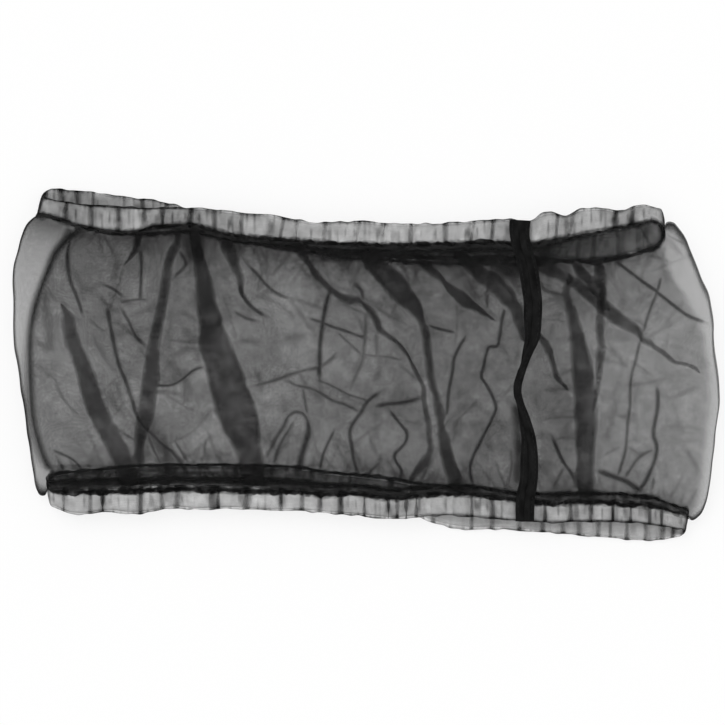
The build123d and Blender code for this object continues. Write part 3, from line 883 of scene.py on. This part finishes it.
def seam_ring(name, rim, material):
    """The gathering seam: see-through bunched net, with two tight cords of it along the seam."""
    parts, cloths, covers, faces = [], [], [], []
    count = 0
    for strand in STRANDS:
        turn = np.arange(strand.around) * 2 * math.pi / strand.around
        along, turn = rim.grid(1.1, turn)
        points, half = strand_shape(rim, strand, along, turn)
        parts.append(points.reshape(-1, 3))
        cloths.append(np.stack([along, turn * half], axis=-1).reshape(-1, 2))
        covers.append(strand_cover(rim, strand, along, turn, half).ravel())
        faces.append(grid_faces(*along.shape, round_rows=True, round_columns=True) + count)
        count += along.size
    piece = new_object(name, np.concatenate(parts), np.concatenate(faces).tolist(), material)
    give_places(piece, np.concatenate(cloths), rim.length)
    give_value(piece, "cover", np.concatenate(covers))
    return piece


def lap_tacks(name, rim, material):
    """Three zigzag rows of thread that close the elastic's lap, under the side seam."""
    middle = rim.find(TAPE_LINE[0][0], True)
    steps = 28
    share = np.linspace(0.22, 0.86, steps)
    points, cloth, faces = [], [], []
    for row in (-9.0, 0.0, 9.0):
        along = middle + row + 0.8 * np.where(np.arange(steps) % 2, 1.0, -1.0)
        seam, edge, out = rim.frame(along)
        line = seam + (edge - seam) * share[:, None] - out * 0.7
        add_cord(points, cloth, faces, line, 0.2)
    return cord_object(name, points, cloth, faces, material)


def add_cord(points, cloth, faces, line, radius, sides=6):
    """Adds a thin round thread along a line, with closed ends."""
    run = unit(np.gradient(line, axis=0))
    side = np.cross(run, [0.0, 0.0, 1.0])
    side /= np.maximum(np.linalg.norm(side, axis=1, keepdims=True), 1e-6)
    up = np.cross(side, run)
    first = sum(len(part) for part in points)
    turn = np.arange(sides) * 2 * math.pi / sides
    ring = side[:, None] * np.cos(turn)[:, None] + up[:, None] * np.sin(turn)[:, None]
    slim = np.full(len(line), radius)
    slim[[0, -1]] = radius * 0.5
    tube = line[:, None] + ring * slim[:, None, None]
    points.append(tube.reshape(-1, 3))
    places = np.stack(np.meshgrid(lengths(line), turn * radius, indexing="ij"), axis=-1)
    cloth.append(places.reshape(-1, 2))
    body = grid_faces(len(line), sides, round_columns=True) + first
    faces.extend(body.tolist())
    faces.append([first + k for k in range(sides)])
    last = first + (len(line) - 1) * sides
    faces.append([last + k for k in reversed(range(sides))])


def cord_object(name, points, cloth, faces, material):
    piece = new_object(name, np.concatenate(points), faces, material)
    give_places(piece, np.concatenate(cloth))
    return piece


# --- the net ------------------------------------------------------------------------------------
def half_loop(rim, front):
    """The seam's line from the middle of its left end to the middle of its right one."""
    count = len(rim.seam)
    if front:
        order = np.concatenate([np.arange(rim.middle_left, count), np.arange(rim.middle_right)])
        return rim.seam[order]
    return rim.seam[rim.middle_right:rim.middle_left][::-1]


def column_shares(count):
    """Where the net's columns lie across it: closer near its two sides, where folds stretch it."""
    share = np.linspace(0, 1, 4001)
    away = share * NET_SPAN
    close = 1 + 2.0 * (np.exp(-away / 14) + np.exp(-away[::-1] / 14))
    at = np.concatenate([[0.0], np.cumsum((close[1:] + close[:-1]) / 2)])
    return np.interp(np.linspace(0, at[-1], count + 1), at, share)


def cut(line, shares):
    """Places at the given shares of a line's length."""
    at = lengths(line[:, :2])
    return np.stack([np.interp(shares * at[-1], at, line[:, k]) for k in (0, 1)], axis=1)


class Sheet:
    """Half of the tube of net: places in the view, height, and how dense the net is."""

    def __init__(self, upper, lower, front, across, down):
        columns, rows = column_shares(across), np.linspace(0, 1, down + 1)
        top, bottom = cut(half_loop(upper, front), columns), cut(half_loop(lower, front), columns)
        left, right = cut(route(LEFT_SIDE), rows), cut(route(RIGHT_SIDE), rows)
        left = left + np.outer(1 - rows, top[0] - left[0])
        left = left + np.outer(rows, bottom[0] - left[-1])
        right = right + np.outer(1 - rows, top[-1] - right[0])
        right = right + np.outer(rows, bottom[-1] - right[-1])
        s = columns[None, :, None]
        t = rows[:, None, None]
        bulge_left = left[:, None] - (1 - t) * top[0] - t * bottom[0]
        bulge_right = right[:, None] - (1 - t) * top[-1] - t * bottom[-1]
        flat = (1 - t) * top[None] + t * bottom[None]
        for bulge, away in ((bulge_left, s), (bulge_right, 1 - s)):
            share = np.concatenate([(1 - away) ** 2, np.exp(-away * NET_SPAN / 7)], axis=-1)
            flat = flat + bulge * share
        self.front = front
        self.shape = (down + 1, across + 1)
        self.rest = flat.reshape(-1, 2)
        self.place = self.rest.copy()
        s = np.broadcast_to(s[..., 0], self.shape).ravel()
        self.t = np.broadcast_to(t[..., 0], self.shape).ravel()
        height = np.linalg.norm(top - bottom, axis=1)
        self.from_top = self.t * np.tile(height, down + 1)
        self.from_bottom = (1 - self.t) * np.tile(height, down + 1)
        self.from_side = np.minimum(s, 1 - s) * NET_SPAN
        self.lift = np.zeros(len(self.rest))
        self.density = np.ones(len(self.rest))
        self.folded = np.zeros(len(self.rest))
        self.creased = np.ones(len(self.rest))

    def near(self, line, reach):
        low, high = line[:, :2].min(axis=0) - reach, line[:, :2].max(axis=0) + reach
        inside = ((self.place > low) & (self.place < high)).all(axis=1)
        return np.flatnonzero(inside)

    def follow(self, line, reach):
        """Points within reach of a line.

        Which they are, how far left of it, its width and its left there, a share that fades past its
        ends, and the step of the line beside each.
        """
        which = self.near(line, reach)
        left, share, past = beside(self.place[which], line)
        close = (np.abs(left) < reach) & (past < PAST_END)
        which, left, share, past = which[close], left[close], share[close], past[close]
        at = share * (len(line) - 1)
        width = np.interp(at, np.arange(len(line)), line[:, 2])
        turned = left_of(line)
        side = np.stack([np.interp(at, np.arange(len(line)), turned[:, k]) for k in (0, 1)], axis=1)
        return which, left, width, side, smooth(1 - past / PAST_END), at

    def add_pleat(self, places, ply, dark):
        """Lays a pleat of three plies along a line."""
        line = route(places)
        widest = 0.5 * (line[:, 2].max() + SOFT_EDGE) + PLEAT_ROOM
        which, left, width, side, fade, step = self.follow(line, widest)
        width = (width + SOFT_EDGE * smooth(width / 6.0)) * fade
        reach = 0.5 * width + PLEAT_ROOM
        place, lift = pleat(left, width, reach)
        self.place[which] += side * (place - left)[:, None]
        self.lift[which] += lift * ply
        edge = width / 2 - np.abs(place)
        folded = smooth((edge + 1.0) / 2.5) * smooth(width / 3.0)
        rim = np.maximum(np.minimum(3.6, 0.45 * width), 0.5)
        streak = 0.16 * drift(place, step / 3, 1.9, 61) + 0.14 * drift(place, step * 2, 9.0, 62)
        self.density[which] *= fold_fade(left, place, width, reach, rim)
        self.density[which] *= 1 + (dark - 1 + streak + 0.15 * hump(edge - rim, 1.1)) * folded
        self.folded[which] = np.maximum(self.folded[which], folded)

    def add_crease(self, places, width, dark, height):
        """Pinches the net up along a line. Where creases cross, the darker one shows."""
        line = route(places)
        line = np.column_stack([line, np.full(len(line), width)])
        which, left, width, side, fade, step = self.follow(line, width * 3)
        fade = fade * smooth(step / 4 + 0.3) * smooth((len(line) - 1 - step) / 4 + 0.3)
        pull = -0.45 * left * hump(left, 1.3 * width) * fade
        place = left + pull
        self.place[which] += side * pull[:, None]
        self.lift[which] += height * hump(place, 0.4 * width) * fade
        fade = fade * (1 - 0.75 * self.folded[which])
        darker = 1 + (dark - 1) * hump(place, 0.42 * width) * fade
        self.creased[which] = np.maximum(self.creased[which], darker)

    def hold_edges(self):
        """Keeps the net's four edges on the seams and sides they belong to."""
        ends = smooth(np.minimum(self.from_top, self.from_bottom) / 10.0)
        sides = smooth(self.from_side / 8.0)
        moved = self.place - self.rest
        moved[:, 1] *= ends
        moved[:, 0] *= sides
        moved[:, 1] *= sides
        self.place = self.rest + moved
        self.lift *= sides

    def heights(self):
        """How high the net lies: crowned, rounded over at its two sides, and lifted by its folds."""
        x, y = self.place[:, 0], self.place[:, 1]
        round_side = np.sqrt(1 - (1 - np.clip(self.from_side / 14.0, 0, 1)) ** 2)
        crown = np.sin(math.pi * self.t) ** 0.65
        if self.front:
            level = NET_LEVEL + (NET_TOP - NET_LEVEL - 4.5) * crown
            level = level + 1.1 * crown * drift(x, y, 45.0, 21)
            piled = np.maximum(self.lift - 3.0, 0.0)
            return HALF_HEIGHT + (level - HALF_HEIGHT) * round_side + self.lift - 0.6 * piled
        level = FLOOR_GAP + 1.4 * (1 - crown) + 0.5 * (1 + drift(x, y, 40.0, 22)) * crown
        return HALF_HEIGHT - (HALF_HEIGHT - level) * round_side + self.lift

    def build(self, name, material):
        points = np.column_stack([self.place, self.heights()]).reshape(*self.shape, 3)
        values = {"cover": cover_of(self.density * self.creased)}
        return grid_piece(name, points, cut_places(points), material, values)


def widest_first(pleats):
    return sorted(pleats, key=lambda places: -max(width for _, _, width in places))


def traced_creases(sheet):
    """The traced creases. The widest come first, as a crease draws in what it lies over."""
    for dark, width, places in sorted(CREASES, key=lambda crease: -crease[1]):
        sheet.add_crease(places, width, 1 + 1.6 * (dark - 1), 0.6 * width)


FAINT_HEIGHT = 0.8          # how high a faint crease stands, mm


def wrinkles(sheet, seed, count):
    """Faint creases that lie anywhere in the net."""
    random = np.random.default_rng(seed)
    for _ in range(count):
        x, y = random.uniform(-285, 290), random.uniform(-85, 85)
        heading = random.uniform(-1.5, 1.5) + math.pi / 2 * random.choice([0, 1])
        bend = random.uniform(-0.02, 0.02)
        step = random.uniform(4.0, 12.0)
        places = [(x, y)]
        for _ in range(4):
            x, y = x + step * math.cos(heading), y + step * math.sin(heading)
            heading += bend * step
            places.append((x, y))
        width, dark = random.uniform(2.5, 8.0), random.uniform(1.1, 1.55)
        sheet.add_crease(places, width, dark, FAINT_HEIGHT)


def gathers(sheet, from_end, sign, seed):
    """Short fine creases that fan out from a gathered seam, down for a sign of -1 and up for 1."""
    random = np.random.default_rng(seed)
    x = -280.0
    while x < 280.0:
        x += random.uniform(4.0, 11.0)
        row = np.argmin(np.abs(from_end - 1.0) * 4 + np.abs(sheet.rest[:, 0] - x))
        start = sheet.rest[row]
        length = random.uniform(10.0, 34.0)
        lean = random.uniform(-0.9, 0.9)
        steps = np.array([0.0, 0.35, 0.7, 1.0]) * length
        places = [(start[0] + lean * d, start[1] + sign * d) for d in steps]
        width, dark = random.uniform(2.5, 5.0), random.uniform(1.1, 1.5)
        sheet.add_crease(places, width, dark, FAINT_HEIGHT)


def bunched_patches(x, y):
    """Where the front net lies bunched between the two gathering seams of a rim."""
    low = smooth((-20 - x) / 60) * smooth((x + 286) / 10) * smooth((-87 - y) / 4)
    high = smooth((x + 70) / 40) * smooth((170 - x) / 30) * smooth((y - 92) / 4)
    rough = 0.5 + 0.6 * drift(x / 5, y, 2.4, 33) + 0.35 * drift(x, y, 3.0, 34)
    return (low + high) * np.clip(rough, 0.0, 1.2)


def broad_patches(x, y):
    """Wide soft areas where the net lies closer or looser."""
    tone = np.zeros_like(x)
    for place_x, place_y, reach_x, reach_y, more in PATCHES:
        tone += more * hump(x - place_x, reach_x) * hump(y - place_y, reach_y)
    return tone


def loosen_sides(x, y, density):
    """The density, with one loose turn of net outside the left fold and along the right side."""
    fold = np.array(LEFT_INNER_FOLD)[::-1]
    inner = np.interp(y, fold[:, 1], fold[:, 0])
    left_tone = np.interp(y, *zip(*LEFT_TONE))
    density = density + (left_tone - density) * smooth((inner - x) / 3.0 + 0.5)
    right = np.array(RIGHT_SIDE[4:-2])[::-1]
    outline = np.interp(y, right[:, 1], right[:, 0])
    band = 13 + 17 * smooth((y - 20) / 60)
    return density + (RIGHT_TONE - density) * smooth((x - (outline - band)) / 8.0)


def drawn_in(sheet, x):
    """How much closer the net lies near its two gathered seams."""
    near_top = np.exp(-sheet.from_top / 9.0) + 0.3 * np.exp(-sheet.from_top / 26.0)
    if sheet.front:
        over_ring = 1 - smooth((sheet.from_top - 18) / 10)
        near_top = near_top * (1 - 0.85 * smooth((x - 165) / 30) * over_ring)
    near_bottom = np.exp(-sheet.from_bottom / 7.0) + 0.1 * np.exp(-sheet.from_bottom / 20.0)
    under_seam = smooth((np.minimum(sheet.from_top, sheet.from_bottom) - 1.0) / 4.0)
    return 1 + (0.95 * near_top + 0.75 * near_bottom) * under_seam


def light_gap(sheet, x, y):
    """How much thinner the front net lies just under the middle of the upper rim's seam."""
    gap = hump(sheet.from_top - 7.0, 2.4) * (0.75 + 0.35 * drift(x, y, 14.0, 36))
    return 1 - 0.75 * gap * smooth((x - 5) / 25) * smooth((170 - x) / 15)


def ground_density(sheet):
    """How dense the net is away from its folds: drawn in at the seams, loose at the two sides."""
    x, y = sheet.place[:, 0], sheet.place[:, 1]
    density = np.interp(x, *zip(*GROUND)) + broad_patches(x, y)
    mottled = 0.10 * drift(x, y, 30.0, 31) + 0.09 * drift(x, y, 9.0, 32) + 0.06 * drift(x, y, 4.0, 35)
    density = loosen_sides(x, y, density * (1 + mottled)) * drawn_in(sheet, x)
    if sheet.front:
        density = density * (1 + 1.3 * bunched_patches(x, y)) * light_gap(sheet, x, y)
    return density * (1 + 4.0 * hump(sheet.from_side, 1.3))


def finish_net(sheet, name, material):
    sheet.hold_edges()
    sheet.density *= ground_density(sheet)
    return sheet.build(name, material)


def front_net(upper, lower, material):
    sheet = Sheet(upper, lower, front=True, across=540, down=192)
    for places in widest_first(FRONT_PLEATS):
        sheet.add_pleat(places, ply=1.5, dark=0.86)
    wrinkles(sheet, seed=45, count=230)
    gathers(sheet, sheet.from_top, sign=-1, seed=41)
    gathers(sheet, sheet.from_bottom, sign=1, seed=42)
    sheet.add_crease(LEFT_INNER_FOLD, width=13.0, dark=1.7, height=0.0)
    traced_creases(sheet)
    sheet.add_crease(LEFT_INNER_FOLD, width=8.0, dark=4.2, height=2.0)
    return sheet, finish_net(sheet, "front_net", material)


def back_net(upper, lower, material):
    sheet = Sheet(upper, lower, front=False, across=460, down=168)
    for places in widest_first(BACK_PLEATS):
        sheet.add_pleat(places, ply=1.2, dark=0.82)
    wrinkles(sheet, seed=46, count=60)
    gathers(sheet, sheet.from_top, sign=-1, seed=43)
    gathers(sheet, sheet.from_bottom, sign=1, seed=44)
    return finish_net(sheet, "back_net", material)


# --- the side seam ------------------------------------------------------------------------------
def tape_surface(sheet, step=2.0):
    """The tape's face: it lies flat, and where it shows narrower it is folded on itself in three."""
    line = route(TAPE_LINE, step)
    side = left_of(line)
    across = np.linspace(0, 1, 37)
    seen = line[:, 2:3]
    lap = (TAPE_WIDTH - seen) / 2
    turn_back = np.minimum(lap / 2, seen / 2)
    path = across[None] * TAPE_WIDTH
    first = seen / 2 + turn_back
    place = np.where(path < first, -seen / 2 + path, 0.0)
    place = np.where((path >= first) & (path < first + lap), turn_back - (path - first), place)
    place = np.where(path >= first + lap, turn_back - lap + (path - first - lap), place)
    ply = smooth((path - first) / 2.0 + 0.5) + smooth((path - first - lap) / 2.0 + 0.5)
    ply = ply * smooth(lap / 1.5)
    flat = line[:, None, :2] + side[:, None] * place[..., None]
    base = resting_height(sheet, line)
    height = base[:, None] + 0.9 * ply
    cloth = np.stack(np.broadcast_arrays(path, np.arange(len(line))[:, None] * step), axis=-1)
    return np.concatenate([flat, height[..., None]], axis=-1), cloth


def resting_height(sheet, line):
    """How high the tape lies: on the front net, and on the rims' casings at its two ends."""
    heights = sheet.heights()
    top = np.zeros(len(line))
    for i, (x, y, width) in enumerate(line):
        near = (np.abs(sheet.place[:, 0] - x) < width / 2 + 2) & (np.abs(sheet.place[:, 1] - y) < 4)
        top[i] = heights[near].max() if near.any() else 0.0
    over_casing = FRONT_LEVEL + CASING_HALF + 1.2
    over_seam = FRONT_LEVEL + 3.4
    y = line[:, 1]
    on_rim = np.maximum(smooth((y - 96) / 6), smooth((-106 - y) / 6))
    on_casing = np.maximum(smooth((y - 114) / 8), smooth((-122 - y) / 8))
    rim_height = over_seam + (over_casing - over_seam) * on_casing
    height = np.maximum(top + 0.6, 0) * (1 - on_rim) + rim_height * on_rim
    for _ in range(4):
        height[1:-1] = (height[:-2] + 2 * height[1:-1] + height[2:]) / 4
    return height + 0.4


def tape(sheet, material):
    points, cloth = tape_surface(sheet)
    piece = grid_piece("seam_tape", points, cloth, material)
    thicken(piece, TAPE_THICKNESS)
    return piece


def tape_stitches(sheet, material):
    """Two rows of stitches along the tape, each lying on its face and dipping in at its ends."""
    surface, _ = tape_surface(sheet, 0.5)
    steps, pitch, above, dip, radius = 6, 9, 0.42, 0.25, 0.22
    points, cloth, faces = [], [], []
    for column in (5, 31):
        for start in range(6, len(surface) - 14, pitch):
            line = surface[start:start + steps, column] + np.array([0.0, 0.0, above])
            line[[0, -1], 2] -= dip
            add_cord(points, cloth, faces, line, radius)
    return cord_object("seam_stitches", points, cloth, faces, material)


# --- the set ------------------------------------------------------------------------------------
def floor():
    """A white table. The camera sees most of its white at full strength, so its shadows stay pale."""
    full_strength = 0.78
    bpy.ops.mesh.primitive_plane_add(size=6.0, location=(0, 0, 0))
    piece = bpy.context.active_object
    piece.name = "table_top"
    wires = Wiring("white_table")
    wires.shader.inputs["Base Color"].default_value = (0.97, 0.97, 0.97, 1)
    white = wires.node("ShaderNodeEmission")
    mix = wires.node("ShaderNodeMixShader")
    camera_ray = wires.node("ShaderNodeLightPath").outputs["Is Camera Ray"]
    seen = wires.math("MULTIPLY", camera_ray, full_strength)
    wires.join(seen, mix.inputs[0])
    wires.join(wires.shader.outputs[0], mix.inputs[1])
    wires.join(white.outputs[0], mix.inputs[2])
    wires.join(mix.outputs[0], wires.tree.nodes["Material Output"].inputs["Surface"])
    piece.data.materials.append(wires.finish(0.9, 0.0))


def lights():
    world = bpy.data.worlds.new("studio")
    bpy.context.scene.world = world
    world.use_nodes = True
    tree = world.node_tree
    plain = tree.nodes["Background"]
    plain.inputs["Color"].default_value = (1, 1, 1, 1)
    plain.inputs["Strength"].default_value = 0.80
    seen = tree.nodes.new("ShaderNodeBackground")
    seen.inputs["Color"].default_value = (1, 1, 1, 1)
    seen.inputs["Strength"].default_value = 1.0
    path = tree.nodes.new("ShaderNodeLightPath")
    mix = tree.nodes.new("ShaderNodeMixShader")
    tree.links.new(path.outputs["Is Camera Ray"], mix.inputs[0])
    tree.links.new(plain.outputs[0], mix.inputs[1])
    tree.links.new(seen.outputs[0], mix.inputs[2])
    tree.links.new(mix.outputs[0], tree.nodes["World Output"].inputs["Surface"])
    lamp = bpy.data.lights.new("soft_lamp", "SUN")
    lamp.energy = 0.84
    lamp.angle = math.radians(40)
    sun = bpy.data.objects.new("soft_lamp", lamp)
    sun.rotation_euler = (math.radians(-28), math.radians(-22), 0)
    bpy.context.scene.collection.objects.link(sun)


def camera():
    lens = bpy.data.cameras.new("camera")
    distance = 2.5       # metres, like view_width and middle_height
    view_width = 0.6525
    middle = laid(np.array([-3.6, 3.15, 0.0]))
    middle_height = 0.015
    lens.sensor_width = 36.0
    lens.lens = 36.0 * distance / view_width
    lens.clip_end = 20.0
    eye = bpy.data.objects.new("camera", lens)
    eye.location = (middle[0], middle[1], distance + middle_height)
    eye.rotation_euler = (0, 0, LIE_ANGLE)
    bpy.context.scene.collection.objects.link(eye)
    bpy.context.scene.camera = eye


def settings():
    scene = bpy.context.scene
    scene.view_settings.view_transform = "Standard"
    scene.cycles.transparent_max_bounces = 48


def stand_for(piece, slot, *nodes):
    """Hides the solids that a piece is shown instead of, and hangs the piece under the root. The slot
    is not used.
    """
    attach(piece, "root")
    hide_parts(*nodes)


def with_side(tucks, front):
    return [(x, width, lean, front) for x, width, lean in tucks]


def main():
    camera()
    lights()
    floor()
    settings()
    net = net_material("fine_net")
    casing_net = net_material("casing_net")
    bunched = bunched_material("bunched_net")
    white = elastic_material()
    black_tape = tape_material()
    black_thread = thread_material("black_thread", 0.002)
    white_thread = thread_material("white_thread", 0.7)
    rims = {  # the loop, its tucks, and how dark they are
        "top": (Rim(TOP_FRONT_SEAM, TOP_BACK_SEAM, TOP_FRONT_EDGE, TOP_BACK_EDGE, TOP_ENDS),
                with_side(TOP_FRONT_TUCKS, True) + with_side(TOP_BACK_TUCKS, False), 0.7),
        "bottom": (Rim(BOTTOM_FRONT_SEAM, BOTTOM_BACK_SEAM, BOTTOM_FRONT_EDGE, BOTTOM_BACK_EDGE,
                       BOTTOM_ENDS),
                   with_side(BOTTOM_FRONT_TUCKS, True) + with_side(BOTTOM_BACK_TUCKS, False), 1.05),
    }
    for end, (rim, tucks, tuck_tone) in rims.items():
        sleeve = casing(f"{end}_rim_casing", rim, tucks, tuck_tone, casing_net)
        stand_for(sleeve, "casing_net", f"{end}_casing")
        stand_for(elastic(f"{end}_rim_elastic", rim, white), "elastic", f"{end}_elastic")
        stand_for(seam_ring(f"{end}_rim_seam", rim, bunched), "seam", f"{end}_gathering_seam")
        stand_for(lap_tacks(f"{end}_lap_tacks", rim, white_thread), "thread", f"{end}_elastic_tacks")
    upper, lower = rims["top"][0], rims["bottom"][0]
    sheet, front = front_net(upper, lower, net)
    back = back_net(upper, lower, net)
    for piece in (front, back):
        stand_for(piece, "net", "net_tube")
    stand_for(tape(sheet, black_tape), "tape", "side_seam_tape")
    stand_for(tape_stitches(sheet, black_thread), "thread", "side_seam_stitches")


main()
